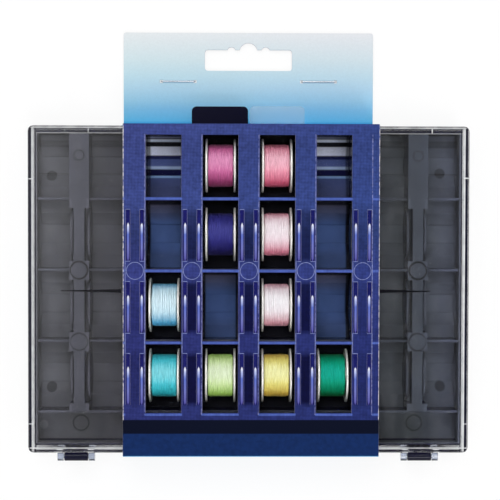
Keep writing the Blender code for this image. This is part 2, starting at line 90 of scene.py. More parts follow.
class Nodes:
    """Short calls that build the node tree of a new material or world."""

    def __init__(self, name, world=False):
        self.owner = (bpy.data.worlds if world else bpy.data.materials).new(name)
        self.owner.use_nodes = True
        self.tree = self.owner.node_tree
        self.tree.nodes.clear()
        self.output = self.put("OutputWorld" if world else "OutputMaterial")

    def put(self, kind, **inputs):
        """Add a node and set or link its inputs, whose names have _ for a space."""
        made = self.tree.nodes.new("ShaderNode" + kind)
        for name, value in inputs.items():
            self.feed(made, name.replace("_", " "), value)
        return made

    def feed(self, made, key, value):
        """Set one input of a node, by its name or number, or link a socket to it."""
        socket = made.inputs[key]
        if isinstance(value, bpy.types.NodeSocket):
            self.tree.links.new(value, socket)
        elif isinstance(value, tuple) and socket.type == 'RGBA':
            socket.default_value = (*value, 1.0)
        else:
            socket.default_value = value

    def finish(self, shader):
        """Make a shader the surface, and return the material or world."""
        self.tree.links.new(shader.outputs[0], self.output.inputs["Surface"])
        return self.owner

    def surface(self, **inputs):
        """Make the Principled shader the surface, and return the material."""
        return self.finish(self.put("BsdfPrincipled", **inputs))

    def mixed(self, factor, first, second):
        """Make a mix of two shaders the surface, and return the material."""
        made = self.put("MixShader", Fac=factor)
        self.feed(made, 1, first.outputs[0])
        self.feed(made, 2, second.outputs[0])
        return self.finish(made)

    def rays(self, *kinds):
        """Return 1 for rays of the given kinds and 0 for others."""
        path = self.put("LightPath")
        return self.most(*(path.outputs[f"Is {kind} Ray"] for kind in kinds))

    def where(self, kind="Object"):
        """Return the piece's own coordinates, in metres in the rest frame, or its normal."""
        return self.put("TexCoord").outputs[kind]

    def axis(self, name, kind="Object"):
        """Return the X, Y or Z of a place, or of another set of coordinates."""
        return self.put("SeparateXYZ", Vector=self.where(kind)).outputs[name]

    def maths(self, operation, first, second=0.0, clamp=False):
        """Return the result of one sum."""
        made = self.put("Math")
        made.operation = operation
        made.use_clamp = clamp
        self.feed(made, 0, first)
        self.feed(made, 1, second)
        return made.outputs[0]

    def joined(self, operation, value, *others):
        """Return what several values give by one kind of sum."""
        for other in others:
            value = self.maths(operation, value, other)
        return value

    def times(self, *values):
        """Return the product of values."""
        return self.joined('MULTIPLY', *values)

    def plus(self, *values):
        """Return the sum of values."""
        return self.joined('ADD', *values)

    def most(self, *values):
        """Return the largest of values."""
        return self.joined('MAXIMUM', *values)

    def less(self, first, second):
        """Return the first value less the second."""
        return self.maths('SUBTRACT', first, second)

    def slope(self, value, start, end, low=0.0, high=1.0):
        """Return a value that goes from low at start to high at end, and stays there."""
        return self.put(
            "MapRange", Value=value, From_Min=start, From_Max=end, To_Min=low, To_Max=high
        ).outputs[0]

    def band(self, value, low, high, soft):
        """Return 1 between low and high, with soft edges, and 0 elsewhere."""
        rise = self.slope(value, low - soft / 2, low + soft / 2)
        fall = self.slope(value, high - soft / 2, high + soft / 2, 1.0, 0.0)
        return self.times(rise, fall)

    def patch(self, low_x, high_x, low_y, high_y, soft):
        """Return 1 on a rectangle seen from above, with soft edges, and 0 elsewhere."""
        across = self.band(self.axis("X"), low_x, high_x, soft)
        return self.times(across, self.band(self.axis("Y"), low_y, high_y, soft))

    def lines(self, value, table, soft):
        """Return the strongest of several bands, given in mm with a strength each."""
        strongest = 0.0
        for low, high, strength in table:
            band = self.band(value, low * mm, high * mm, soft)
            strongest = self.most(strongest, self.times(band, strength))
        return strongest

    def distance(self, centre_x, centre_y):
        """Return how far a place is from a centre, seen from above."""
        away_x = self.less(self.axis("X"), centre_x)
        away_y = self.less(self.axis("Y"), centre_y)
        return self.maths('SQRT', self.plus(self.times(away_x, away_x), self.times(away_y, away_y)))

    def blend(self, factor, first, second, kind='MIX'):
        """Return a mix of two colours."""
        made = self.put("Mix")
        made.data_type = 'RGBA'
        made.blend_type = kind
        for key, value in ((0, factor), (6, first), (7, second)):
            self.feed(made, key, value)
        return made.outputs[2]

    def tinted(self, first, second):
        """Return the product of two colours."""
        return self.blend(1.0, first, second, 'MULTIPLY')

    def toned(self, colour, factor):
        """Return a colour made lighter or darker by a factor."""
        made = self.put("VectorMath")
        made.operation = 'SCALE'
        self.feed(made, "Vector", colour)
        self.feed(made, "Scale", factor)
        return made.outputs[0]

    def ramp(self, value, stops):
        """Return colours spread along a value from 0 to 1."""
        made = self.put("ValToRGB", Fac=value)
        elements = made.color_ramp.elements
        while len(elements) < len(stops):
            elements.new(0.5)
        for element, (position, colour) in zip(elements, stops):
            element.position = position
            element.color = (*colour, 1.0)
        return made.outputs["Color"]

    def along(self, value, table):
        """Return a table's colours spread along a value, at places given in mm."""
        start = table[0][0]
        stop = table[-1][0]
        share = self.slope(value, start * mm, stop * mm)
        return self.ramp(share, [((place - start) / (stop - start), tone) for place, tone in table])

    def noise(self, kind):
        """Return one kind of noise, spread as its row of the table says, or else from 0 to 1."""
        size, detail, roughness, stretch, *spread = grains[kind]
        place = self.put("Mapping", Vector=self.where(), Scale=stretch)
        made = self.put(
            "TexNoise", Vector=place.outputs[0], Scale=1 / (size * mm), Detail=detail,
            Roughness=roughness,
        ).outputs["Fac"]
        return self.slope(made, *spread) if spread else made

    def bump(self, height, depth, strength=1.0):
        """Return a bumped normal."""
        return self.put("Bump", Height=height, Distance=depth, Strength=strength).outputs[0]


def linear(red, green, blue):
    """Turn a colour read off the photograph, 0 to 255, into the shader's linear colour."""
    shares = [value / 255 for value in (red, green, blue)]
    return tuple(
        share / 12.92 if share <= 0.04045 else ((share + 0.055) / 1.055) ** 2.4 for share in shares
    )


def read_off(table):
    """Return a table of places and colours read off the photograph with linear colours."""
    return [(place, linear(*tone)) for place, *tone in table]


def from_bars(made):
    """Return how far a place is across X from its bar's middle, and its share of the pitch."""
    shifted = made.less(made.axis("X"), bar_x[0] - bar_pitch / 2)
    cycle = made.maths('FRACT', made.maths('DIVIDE', shifted, bar_pitch))
    return made.times(made.maths('ABSOLUTE', made.less(cycle, 0.5)), bar_pitch), cycle


def below_dividers(made):
    """Return how far a place is along Y below the divider above it."""
    rows = made.maths('DIVIDE', made.less(divider_y[0], made.axis("Y")), row_pitch)
    return made.times(made.maths('FRACT', rows), row_pitch)


# Kinds of noise: size of the patches in mm, detail, roughness, how much finer along each axis,
# and for most of them the part of the noise that is used and the values that it is spread to
even = (1.0, 1.0, 1.0)
grains = {
    "tray_cloud": (9.0, 4.0, 0.6, even, 0.3, 0.7, 0.86, 1.12),
    "tray_grain": (0.35, 2.0, 0.5, even, 0.3, 0.7, 0.92, 1.08),
    "tray_pores": (0.25, 3.0, 0.5, even),
    "lid_flow": (5.0, 3.0, 0.6, even, 0.35, 0.65, 0.6, 1.0),
    "lid_specks": (1.1, 1.0, 0.5, even, 0.74, 0.79, 0.0, 0.16),
    "lid_scuffs": (6.0, 5.0, 0.75, (1.0, 0.3, 1.0), 0.50, 0.75, 0.0, 0.030),
    "lid_waves": (14.0, 2.0, 0.4, even),
    "scratches": (0.6, 3.0, 0.6, (6.0, 1.0, 1.0)),
    "metal_tint": (3.0, 3.0, 0.5, even, 0.3, 0.7, 0.9, 1.0),
    "strands": (0.9, 3.0, 0.7, (3.0, 0.35, 0.35)),
    "fibres": (0.12, 2.0, 0.6, even),
    "board": (0.5, 4.0, 0.7, even),
    "header": (0.8, 4.0, 0.7, even, 0.3, 0.7, 0.96, 1.02),
    "blotches": (1.8, 3.0, 0.7, even, 0.3, 0.7, 0.76, 1.24),
    "window_edge": (1.4, 3.0, 0.7, even, 0.38, 0.62, 0.0, 0.7),
    "flecks": (0.9, 3.0, 0.8, (1.0, 0.7, 1.0), 0.42, 0.55, 0.12, 0.95),
    "mottle": (1.5, 3.0, 0.5, even, 0.3, 0.7, 0.85, 1.15),
    "wobble": (1.2, 2.0, 0.5, even),
    "worn_line": (1.1, 3.0, 0.7, even, 0.35, 0.6, 0.55, 1.1),
}
fine_bump = 0.01 * mm
rough_bump = 0.02 * mm

# Tilts between which a face counts as looking up, down or sideways
up_tilt = (0.2, 0.6)
flat_tilt = (0.5, 0.9)
down_tilt = (-0.5, -0.7)
side_tilt = (0.3, 0.6)

# Widths of the soft edges of painted bands
crisp = 0.1 * mm
soft = 0.2 * mm
softer = 0.3 * mm

# Colours of the tray and the lid
polished_navy = (0.0035, 0.0035, 0.018)
matt_bar_navy = (0.073, 0.074, 0.098)
# Lighter navy on the bars' lips, a painted highlight
lip_highlight_navy = (0.100, 0.100, 0.130)
# Floor beside the card, then the floor under it, painted brighter and bluer to make up for the card's
# shade
uncovered_floor_navy = (0.113, 0.114, 0.133)
brightened_floor_navy = (0.056, 0.100, 0.255)
# Black of the painted shadows in the cells, such as the floor under the bobbins
painted_shadow_black = (0.0025, 0.0025, 0.006)
wall_navy = (0.100, 0.100, 0.117)
polished_roughness = 0.16
matt_roughness = 0.85
tray_ior = 1.28

# Painted zones of the tray
wall_zone = 0.5 * mm
wall_edge = 0.3 * mm
lip_edge = 1.4 * mm
shelter_soft = 2.0 * mm
raised_start = floor_top + 1.0 * mm
low_share = (0.3, 0.6)
bar_lip_start = 2.5 * mm
divider_soft = 0.5 * mm

# How much of the light reaches the tray across its width, as red, green and blue
light_fall = (
    (-76.0, (0.94, 0.94, 0.93)), (-64.0, (0.71, 0.71, 0.69)), (-53.0, (0.63, 0.62, 0.66)),
    (53.0, (0.55, 0.61, 0.62)), (64.0, (0.53, 0.61, 0.60)), (76.0, (0.75, 0.83, 0.96)),
)
# How much more light is painted on the trough below the last row, as a factor
trough_painted_light = 1.15

# Tones down the first row's open cells, mostly painted highlights and painted shadows: their height
# along Y and the colour
first_row_light_and_shade = (
    (42.6, 120, 130, 168), (42.1, 30, 30, 66), (41.6, 140, 150, 180), (41.2, 40, 38, 70),
    (40.7, 230, 240, 255), (40.0, 220, 230, 255), (39.8, 2, 2, 8), (38.3, 2, 2, 8),
    (38.0, 232, 236, 255), (35.0, 232, 236, 255), (34.6, 30, 36, 84), (33.6, 32, 38, 88),
    (33.2, 80, 94, 150), (30.9, 82, 96, 152), (30.3, 170, 190, 222), (29.7, 160, 180, 214),
    (29.2, 8, 10, 60), (27.1, 8, 10, 60), (26.8, 130, 160, 200), (26.2, 120, 150, 196),
    (25.9, 68, 80, 126), (19.2, 68, 78, 122),
)

# Pairs of rings left by the mould in mm: middle, radius, half width, and how dark left and right
mould_rings = (
    (63.96, -9.05, 3.25, 0.36, 0.80, 0.80), (63.96, -36.05, 3.25, 0.32, 0.50, 0.50),
    (63.96, 34.2, 1.9, 0.34, 0.50, 0.35), (65.0, -69.35, 3.0, 0.34, 0.55, 0.55),
)
# Round spots of the mould in mm: middle, radius, and how dark, or how pale below zero
mould_disks = (
    (-76.15, 26.85, 2.2, 0.58), (-76.10, -55.05, 2.2, 0.58),
    (74.50, 28.05, 2.2, 0.58), (74.90, -54.75, 2.2, 0.58), (-79.5, -69.95, 1.9, -0.5),
)
# Thin lines of painted shade across the first row's cells beside the card, and how dark
cell_shade_lines = ((37.8, 40.4, 0.40), (27.4, 27.9, 0.35))
cell_reach = 7.1 * mm
# Painted shadow beside a bar on an open cell's floor: its width, and how dark it is in the first row
gap_shade = 0.7 * mm
gap_darkness = 0.7
# Painted shadow below a divider: its depth and how dark, then the reach of the greyer floor of painted
# shade
divider_shade = 2.0 * mm
divider_darkness = 0.85
grey_reach = 9.0 * mm
cell_top_shade_grey = (0.085, 0.082, 0.135)


def within_walls(made, out_x, out_y):
    """Return 1 inside the tray's walls, reaching out past them by a distance each way."""
    low_y = inner_hinge_y - out_y
    return made.patch(-inner_x - out_x, inner_x + out_x, low_y, inner_tab_y + out_y, soft)


def tray_finish():
    """Navy polystyrene, matt inside, polished outside, with painted light and shade; its floor painted
    brighter and bluer under the card.
    """
    made = Nodes("navy_tray")
    x = made.axis("X")
    y = made.axis("Y")
    inside = within_walls(made, lip_edge, wall_edge)
    wall = made.maths('SUBTRACT', inside, within_walls(made, -wall_zone, -wall_zone), True)
    matt_share = made.times(inside, made.most(made.slope(made.axis("Z", "Normal"), *up_tilt), wall))
    cloud = made.noise("tray_cloud")
    grain = made.noise("tray_grain")
    sheltered = made.band(x, panel_low.x, panel_high.x, shelter_soft)
    fall = made.along(x, light_fall)
    from_bar, _ = from_bars(made)
    below = below_dividers(made)
    # Cells that hold bobbins, whose floor is painted black as their shadow
    held = 0.0
    for label in thread_tones:
        place = middle(f"spool_{label}")
        held = made.most(held, made.patch(
            place.x - cell_reach, place.x + cell_reach,
            place.y - row_pitch / 2, place.y + row_pitch / 2, soft,
        ))
    # Painted shadow on the floor beside each bar
    bar_side_shadow = made.slope(from_bar, bar_half + gap_shade, bar_half + 2 * gap_shade, 1.0, 0.0)
    # Greyer floor of painted shade near the top of each cell
    greyer_shade = made.slope(below, divider_shade, grey_reach, 1.0, 0.0)
    open_floor = made.blend(greyer_shade, brightened_floor_navy, cell_top_shade_grey)
    open_floor = made.blend(bar_side_shadow, open_floor, painted_shadow_black)
    # Painted highlights and painted shadows down the first row's open cells
    first_row_light = made.along(y, read_off(first_row_light_and_shade))
    first_row_light = made.blend(made.times(bar_side_shadow, gap_darkness), first_row_light, painted_shadow_black)
    first = made.band(y, divider_y[0], inner_tab_y + wall_edge, crisp)
    open_floor = made.blend(first, open_floor, first_row_light)
    open_floor = made.blend(held, open_floor, painted_shadow_black)
    # Beside the card the floor takes the painted fall-off of light; under it, the painted brighter,
    # bluer floor
    floor = made.blend(sheltered, made.tinted(uncovered_floor_navy, fall), open_floor)
    raised = made.slope(made.axis("Z"), raised_start, divider_top)
    on_lip = made.times(
        made.slope(from_bar, bar_lip_start, bar_lip_start + softer),
        made.slope(from_bar, bar_half, bar_half + crisp, 1.0, 0.0),
        made.band(y, divider_y[3], divider_y[0], divider_soft),
    )
    # The bars' lips get a painted highlight
    upper = made.blend(on_lip, matt_bar_navy, lip_highlight_navy)
    tone = made.blend(raised, floor, made.tinted(upper, fall))
    tone = made.blend(wall, tone, made.tinted(wall_navy, fall))
    low_in = made.slope(raised, *low_share, 1.0, 0.0)
    # Painted shadow below each divider in the lower rows' cells under the card
    top_shade = made.slope(below, divider_shade, divider_shade + 2 * softer, divider_darkness, 0.0)
    lower_rows = made.band(y, divider_y[3], divider_y[0], crisp)
    top_shade = made.times(top_shade, lower_rows, sheltered, low_in)
    tone = made.blend(top_shade, tone, painted_shadow_black)
    # Painted shade lines across the first row's cells beside the card
    lines = made.times(made.lines(y, cell_shade_lines, softer), made.less(1.0, sheltered), low_in)
    # The trough below the last row is painted lighter
    trough = made.slope(y, divider_y[3] - divider_soft, divider_y[3], 1.0 - trough_painted_light, 0.0)
    dark = made.plus(lines, trough)
    for centre_x, centre_y, radius, half, *depths in mould_rings:
        for side, depth in zip((-1, 1), depths):
            away = made.distance(side * centre_x * mm, centre_y * mm)
            around = made.band(away, (radius - half) * mm, (radius + half) * mm, soft)
            dark = made.plus(dark, made.times(around, depth))
    for centre_x, centre_y, radius, depth in mould_disks:
        away = made.distance(centre_x * mm, centre_y * mm)
        disk = made.slope(away, radius * mm - 2 * soft, radius * mm, depth, 0.0)
        dark = made.plus(dark, made.times(disk, low_in))
    matt = made.toned(tone, made.times(made.less(1.0, dark), cloud, grain))
    return made.surface(
        Base_Color=made.blend(matt_share, polished_navy, matt), IOR=tray_ior,
        Roughness=made.slope(matt_share, 0.0, 1.0, polished_roughness, matt_roughness),
        Normal=made.bump(made.noise("tray_pores"), rough_bump, 0.5),
    )


# Edges of the lid that catch the light: low and high ends across X or Y, and how strongly
lid_lines_x = (
    (-81.35, -80.45, 0.48), (80.05, 80.65, 0.38), (80.65, 81.15, 0.95), (82.10, 82.75, 0.60),
)
lid_lines_y = ((44.25, 45.30, 0.62), (42.30, 42.62, 0.30), (-76.00, -75.55, 0.75))
# Painted shade along edges of the lid, given in the same way
lid_shades_x = (
    (-82.50, -81.50, 0.70), (-80.10, -79.70, 0.45), (79.55, 79.95, 0.35), (81.25, 82.05, 0.80),
)
shade_navy = (0.010, 0.010, 0.028)
# Short painted highlights where ribs meet the lid: low and high ends across X and Y, and how strongly
lid_ticks = (
    (-82.6, -80.6, 25.0, 25.5, 0.5), (80.6, 82.6, 25.6, 26.1, 0.8),
    (-82.6, -80.6, -66.9, -66.4, 0.5), (80.6, 82.6, -66.9, -66.4, 0.5),
    (-69.1, -68.7, 42.6, 44.3, 0.16), (-60.3, -59.9, 42.6, 44.3, 0.4), (68.4, 68.8, 42.6, 44.3, 0.7),
)
# Dark wedge lines beside the card: place along Y, ends across X in mm, half width and tip
wedge_y = -16.6 * mm
wedge_lines = ((-48.0, -68.3), (49.0, 68.0))
wedge_half = 0.62 * mm
wedge_tip = 0.08 * mm
wedge_run_in = 2.0 * mm
wedge_darkness = 0.92
wedge_black = (0.004, 0.004, 0.008)
# Depth of the top plate's looks, edges of its lines, the tab's veil, and the lid's colours
lid_zone = 1.0 * mm
lid_line_soft = 0.25 * mm
tab_veil = 0.10
lid_roughness = 0.03
lid_ior = 1.5
clear_tint = (0.97, 0.98, 0.99)
shadow_tint = (0.95, 0.95, 0.96)
mark_and_highlight_white = (0.80, 0.82, 0.82)
ear_tint = (0.38, 0.42, 0.52)


def lid_finish():
    """Clear polystyrene with painted highlights and painted shade along its edges and painted highlights
    at its ribs, and the faint flow marks and scuffs of a lid.
    """
    made = Nodes("clear_lid")
    x = made.axis("X")
    y = made.axis("Y")
    top = made.slope(made.axis("Z"), lid_top - lid_zone, lid_top - lid_zone / 2)
    top_face = made.times(made.slope(made.axis("Z", "Normal"), *flat_tilt), top)
    within_y = made.band(y, hinge_side_y, tab_side_y + soft, crisp)
    uneven = made.noise("lid_flow")
    # Painted highlights along the lid's edges, real specks and scuffs, painted highlights at its ribs,
    # and a paler tab make it less clear
    marks_and_painted_light = made.lines(x, lid_lines_x, lid_line_soft)
    marks_and_painted_light = made.most(marks_and_painted_light, made.lines(y, lid_lines_y, lid_line_soft))
    marks_and_painted_light = made.times(marks_and_painted_light, uneven, top_face, within_y)
    speck = made.noise("lid_specks")
    scuff = made.noise("lid_scuffs")
    bare = made.less(1.0, made.band(x, panel_low.x, panel_high.x, shelter_soft))
    marks_and_painted_light = made.most(marks_and_painted_light, made.times(made.plus(speck, scuff), top, bare))
    for low_x, high_x, low_y, high_y, strength in lid_ticks:
        tick = made.patch(low_x * mm, high_x * mm, low_y * mm, high_y * mm, soft)
        marks_and_painted_light = made.most(marks_and_painted_light, made.times(tick, strength, top))
    on_tab = made.slope(y, tab_side_y + softer, tab_side_y + 2 * softer, 0.0, tab_veil)
    marks_and_painted_light = made.most(marks_and_painted_light, on_tab)
    # Painted shade along the lid's edges
    shade = made.times(made.lines(x, lid_shades_x, soft), uneven, top_face)
    shade = made.times(shade, made.less(1.0, made.slope(marks_and_painted_light, 0.1, 0.4)))
    wedge = 0.0
    off_line = made.maths('ABSOLUTE', made.less(y, wedge_y))
    for near, far in wedge_lines:
        reach = made.slope(x, near * mm, far * mm, wedge_half, wedge_tip)
        between = made.band(x, min(near, far) * mm - wedge_run_in, max(near, far) * mm, softer)
        inside = made.slope(made.less(reach, off_line), -wedge_tip, wedge_tip)
        wedge = made.most(wedge, made.times(inside, between))
    wedge = made.times(wedge, wedge_darkness, top_face)
    ear = made.slope(y, hinge_side_y - 2 * soft, hinge_side_y, 1.0, 0.0)
    cover = made.blend(marks_and_painted_light, made.blend(ear, clear_tint, ear_tint), mark_and_highlight_white)
    cover = made.blend(made.slope(shade, 0.0, 0.2), cover, shade_navy)
    cover = made.blend(made.slope(wedge, 0.0, 0.1), cover, wedge_black)
    marks_and_painted_light = made.most(marks_and_painted_light, made.times(shade, within_y), wedge)
    clear = made.put(
        "BsdfPrincipled", Base_Color=cover, Roughness=lid_roughness, IOR=lid_ior,
        Transmission_Weight=made.less(1.0, marks_and_painted_light),
        Normal=made.bump(made.noise("lid_waves"), fine_bump, 0.2),
    )
    through = made.put("BsdfTransparent", Color=shadow_tint)
    return made.mixed(made.rays("Shadow"), clear, through)


def metal_finish(name, colour, roughness, metallic):
    """Bright metal with fine scratches that run round its axis."""
    made = Nodes(name)
    scratch = made.noise("scratches")
    tint = made.noise("metal_tint")
    return made.surface(
        Base_Color=made.toned(colour, tint), Metallic=metallic,
        Roughness=made.slope(scratch, 0.3, 0.7, roughness * 0.7, roughness * 1.4),
        Normal=made.bump(scratch, fine_bump, 0.4),
    )


# Thread: share of the strands in its noise, the part of the noise used, how far it shifts the
# heights of the tones and how much it darkens, and the heights of the tones, from 0 to 1
strand_share = 0.7
strand_range = (0.35, 0.65)
height_shift = (-0.10, 0.06)
strand_depth = (0.78, 1.05)
tone_heights = (0.35, 0.82, 0.97)


def thread_finish(label, low, high, crown_highlight, gloss=0.4):
    """Wound sewing thread: painted paler towards its crown as a painted highlight, with strands of
    slightly unlike depth.
    """
    made = Nodes(f"thread_{label}")
    strands = made.noise("strands")
    fibre = made.noise("fibres")
    value = made.plus(made.times(strands, strand_share), made.times(fibre, 1 - strand_share))
    # The winding is painted paler upwards, a painted highlight tilted towards the tab side
    upwards = made.times(made.axis("Z"), math.cos(highlight_tilt))
    tabwards = made.times(made.axis("Y"), math.sin(highlight_tilt))
    height = made.maths('DIVIDE', made.plus(upwards, tabwards), thread_radius)
    height = made.slope(made.plus(height, made.slope(value, *strand_range, *height_shift)), 0.0, 1.0)
    colour = made.ramp(height, list(zip(tone_heights, (low, high, crown_highlight))))
    return made.surface(
        Base_Color=made.toned(colour, made.slope(value, *strand_range, *strand_depth)),
        Roughness=0.45, Specular_IOR_Level=gloss, Sheen_Weight=gloss / 4,
        Sheen_Roughness=0.4, Normal=made.bump(fibre, rough_bump, 0.5),
    )


# Colours down the card: height along Y, and the colour at the left edge
header_colours = (
    (82.5, 231, 236, 238), (72.0, 211, 230, 235), (66.0, 194, 224, 235), (61.0, 182, 220, 239),
    (56.0, 164, 217, 243), (52.8, 138, 205, 240), (48.3, 106, 198, 238), (47.2, 58, 164, 224),
    (45.3, 14, 132, 204),
)
header_right = (1.0, 0.97, 0.99)
panel_colours = (
    (45.3, 61, 71, 133), (38.0, 56, 66, 124), (18.0, 59, 71, 133), (5.0, 50, 60, 113),
    (-9.0, 55, 62, 127), (-36.0, 44, 49, 110), (-62.0, 43, 49, 108),
)
middle_colours = ((17.0, 46, 55, 104), (4.0, 26, 33, 76), (-22.0, 13, 15, 60), (-62.0, 10, 11, 52))
groove_colours = ((17.0, 28, 28, 97), (-62.0, 30, 31, 98))
# Tint of the panel's colours at its right edge
panel_right = (0.78, 0.95, 0.97)
bridge_colour = linear(76, 96, 172)
window_edge_colour = linear(150, 154, 204)
window_top = 4.0 * mm
worn_edge_colour = linear(222, 218, 222)
dark_band_colour = linear(7, 13, 34)
low_band_colour = linear(19, 43, 92)
low_edge_colour = linear(60, 150, 210)
board_colour = linear(196, 192, 206)
back_colour = linear(205, 203, 198)
dark_band_top = -64.9 * mm
dark_band_bottom = -70.1 * mm
low_edge_top = -78.6 * mm
# Soft edges and widths of the print on the bars, the bridges and the windows' edges
slot_soft = 0.15 * mm
slot_blur = 2.5 * mm
bars_blur = 4.0 * mm
groove_soft = 0.12 * mm
bridge_half = 0.30 * mm
bridge_soft = 0.25 * mm
bridge_reach = 1.0 * mm
glint_inner = 0.30 * mm
glint_outer = 0.05 * mm
right_of_bar = (0.50, 0.52)
worn_left = 0.35 * mm
worn_right = 0.25 * mm

# Relief of the front panel: finger slots beside each bar, with a bead along each
slot_depth = 0.2 * mm
slot_inner = 1.80 * mm
slot_outer = 3.45 * mm
slot_bead = 2.55 * mm
bead_half = 0.45 * mm
bead_delay = 4.8 * mm
slot_start = 4.1 * mm
slot_stop = 23.3 * mm
line_width = 0.22 * mm
line_height = 0.06 * mm
ring_radius = 3.2 * mm
ring_sides = 40
bead_stations = 14
bead_steps = 6
bead_taper = 1.2 * mm
bead_crease = math.radians(50.0)
# Dots of the print
dot_pitch = 1.2 * mm
dot_turn = math.radians(2.0)
dot_spread = (-1.6, 1.6, 0.90, 1.10)


def card_colours(made, table, right_tint):
    """Return a table's colours spread along Y, with a tint that grows towards the right edge."""
    across = made.slope(made.axis("X"), panel_low.x, panel_high.x)
    tint = made.blend(across, (1.0, 1.0, 1.0), right_tint)
    return made.tinted(made.along(made.axis("Y"), read_off(table)), tint)


def card_surface(made, colour):
    """Give a card its bare underside and cut edges, and its surface."""
    under = made.slope(made.axis("Z", "Normal"), *down_tilt)
    colour = made.blend(under, colour, back_colour)
    cut_side = made.slope(made.maths('ABSOLUTE', made.axis("X", "Normal")), *side_tilt)
    return made.surface(
        Base_Color=made.blend(cut_side, colour, board_colour), Roughness=0.75,
        Specular_IOR_Level=0.06, Normal=made.bump(made.noise("board"), rough_bump, 0.35),
    )


def header_finish():
    """Coated card, printed with a fade from off-white to bright blue."""
    made = Nodes("header_print")
    fibre = made.noise("header")
    return card_surface(made, made.toned(card_colours(made, header_colours, header_right), fibre))


def print_dots(made):
    """Return the fine, slightly uneven dot pattern of a print."""
    turned = made.put("Mapping", Vector=made.where(), Rotation=(0.0, 0.0, dot_turn))
    parts = made.put("SeparateXYZ", Vector=turned.outputs[0])
    waves = [
        made.maths('SINE', made.times(parts.outputs[name], math.tau / dot_pitch)) for name in "XY"
    ]
    return made.slope(made.plus(*waves), *dot_spread)


def panel_finish():
    """Coated card printed in blues: bars, finger slots and bridges, then two bands below."""
    made = Nodes("panel_print")
    x = made.axis("X")
    y = made.axis("Y")
    from_bar, cycle = from_bars(made)
    below = below_dividers(made)
    lower_rows = made.band(y, divider_y[3], divider_y[0], crisp)
    in_slot = made.times(made.band(below, slot_start, slot_stop, slot_soft), lower_rows)
    soft_slot = made.times(made.band(below, slot_start, slot_stop, slot_blur), lower_rows)
    inner_bars = made.band(x, bar_x[2] - bar_pitch / 2, bar_x[4] + bar_pitch / 2, bars_blur)
    beside = made.band(from_bar, slot_inner, slot_outer, groove_soft)
    centre = made.slope(from_bar, slot_inner - 2 * soft, slot_inner + crisp, 1.0, 0.0)
    centre = made.times(centre, made.slope(inner_bars, 0.0, 1.0, 0.35, 1.0), soft_slot)
    colour = card_colours(made, panel_colours, panel_right)
    colour = made.blend(centre, colour, card_colours(made, middle_colours, panel_right))
    sunk = card_colours(made, groove_colours, panel_right)
    colour = made.blend(made.times(beside, in_slot), colour, sunk)
    from_divider = made.maths('MINIMUM', below, made.less(row_pitch, below))
    bridge = made.times(
        made.slope(from_divider, bridge_half, bridge_half + bridge_soft, 1.0, 0.0),
        made.band(y, divider_y[3] - bridge_reach, divider_y[0] + bridge_reach, crisp),
        made.slope(from_bar, bar_half - soft, bar_half),
    )
    colour = made.blend(bridge, colour, bridge_colour)
    blotch = made.noise("blotches")
    colour = made.toned(colour, made.times(print_dots(made), blotch))
    shine = made.times(
        made.band(from_bar, bar_half - glint_inner, bar_half + glint_outer, crisp),
        made.slope(cycle, *right_of_bar),
        made.band(y, divider_y[3], panel_high.y - window_top, crisp),
        made.noise("window_edge"),
    )
    colour = made.blend(shine, colour, window_edge_colour)
    worn = made.less(1.0, made.band(x, panel_low.x + worn_left, panel_high.x - worn_right, crisp))
    flecks = made.noise("flecks")
    colour = made.blend(made.times(worn, flecks), colour, worn_edge_colour)
    mottled = made.noise("mottle")
    for top, fade, shade in (
        (dark_band_top, softer, dark_band_colour),
        (dark_band_bottom, softer, made.toned(low_band_colour, mottled)),
        (low_edge_top, crisp, low_edge_colour),
    ):
        colour = made.blend(made.slope(y, top, top - fade), colour, shade)
    return card_surface(made, colour)


# Colours down a bead, from its bright upper end, and of the thin printed lines
bead_colours = (
    (0.0, 60, 70, 160), (0.04, 236, 238, 248), (0.14, 190, 200, 240),
    (0.32, 92, 112, 200), (0.65, 112, 118, 190), (1.0, 84, 80, 160),
)
bead_wobble = 0.10
line_colour = linear(132, 142, 198)


def bead_finish():
    """Glossy blue beads with a bright upper end."""
    made = Nodes("bead_print")
    share = made.slope(below_dividers(made), slot_start + bead_delay, slot_stop)
    wobble = made.times(made.less(made.noise("wobble"), 0.5), bead_wobble)
    colour = made.ramp(made.maths('ADD', share, wobble, True), read_off(bead_colours))
    return made.surface(Base_Color=colour, Roughness=0.4, Specular_IOR_Level=0.2)


def line_finish():
    """The light blue of rings and outlines, broken up a little."""
    made = Nodes("line_print")
    worn = made.noise("worn_line")
    colour = made.toned(line_colour, worn)
    return made.surface(Base_Color=colour, Roughness=0.45, Specular_IOR_Level=0.2)


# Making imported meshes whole, and rounding edges
weld = 0.001 * mm
flat_angle = math.radians(0.5)
round_angle = math.radians(30.0)
shell_round = 0.25 * mm
bar_round = 0.3 * mm
card_round = 0.05 * mm
panel_round = 0.10 * mm


def placed(name, data, place=(0.0, 0.0, 0.0)):
    """Add an object to the scene."""
    made = bpy.data.objects.new(name, data)
    made.location = place
    bpy.context.scene.collection.objects.link(made)
    return made


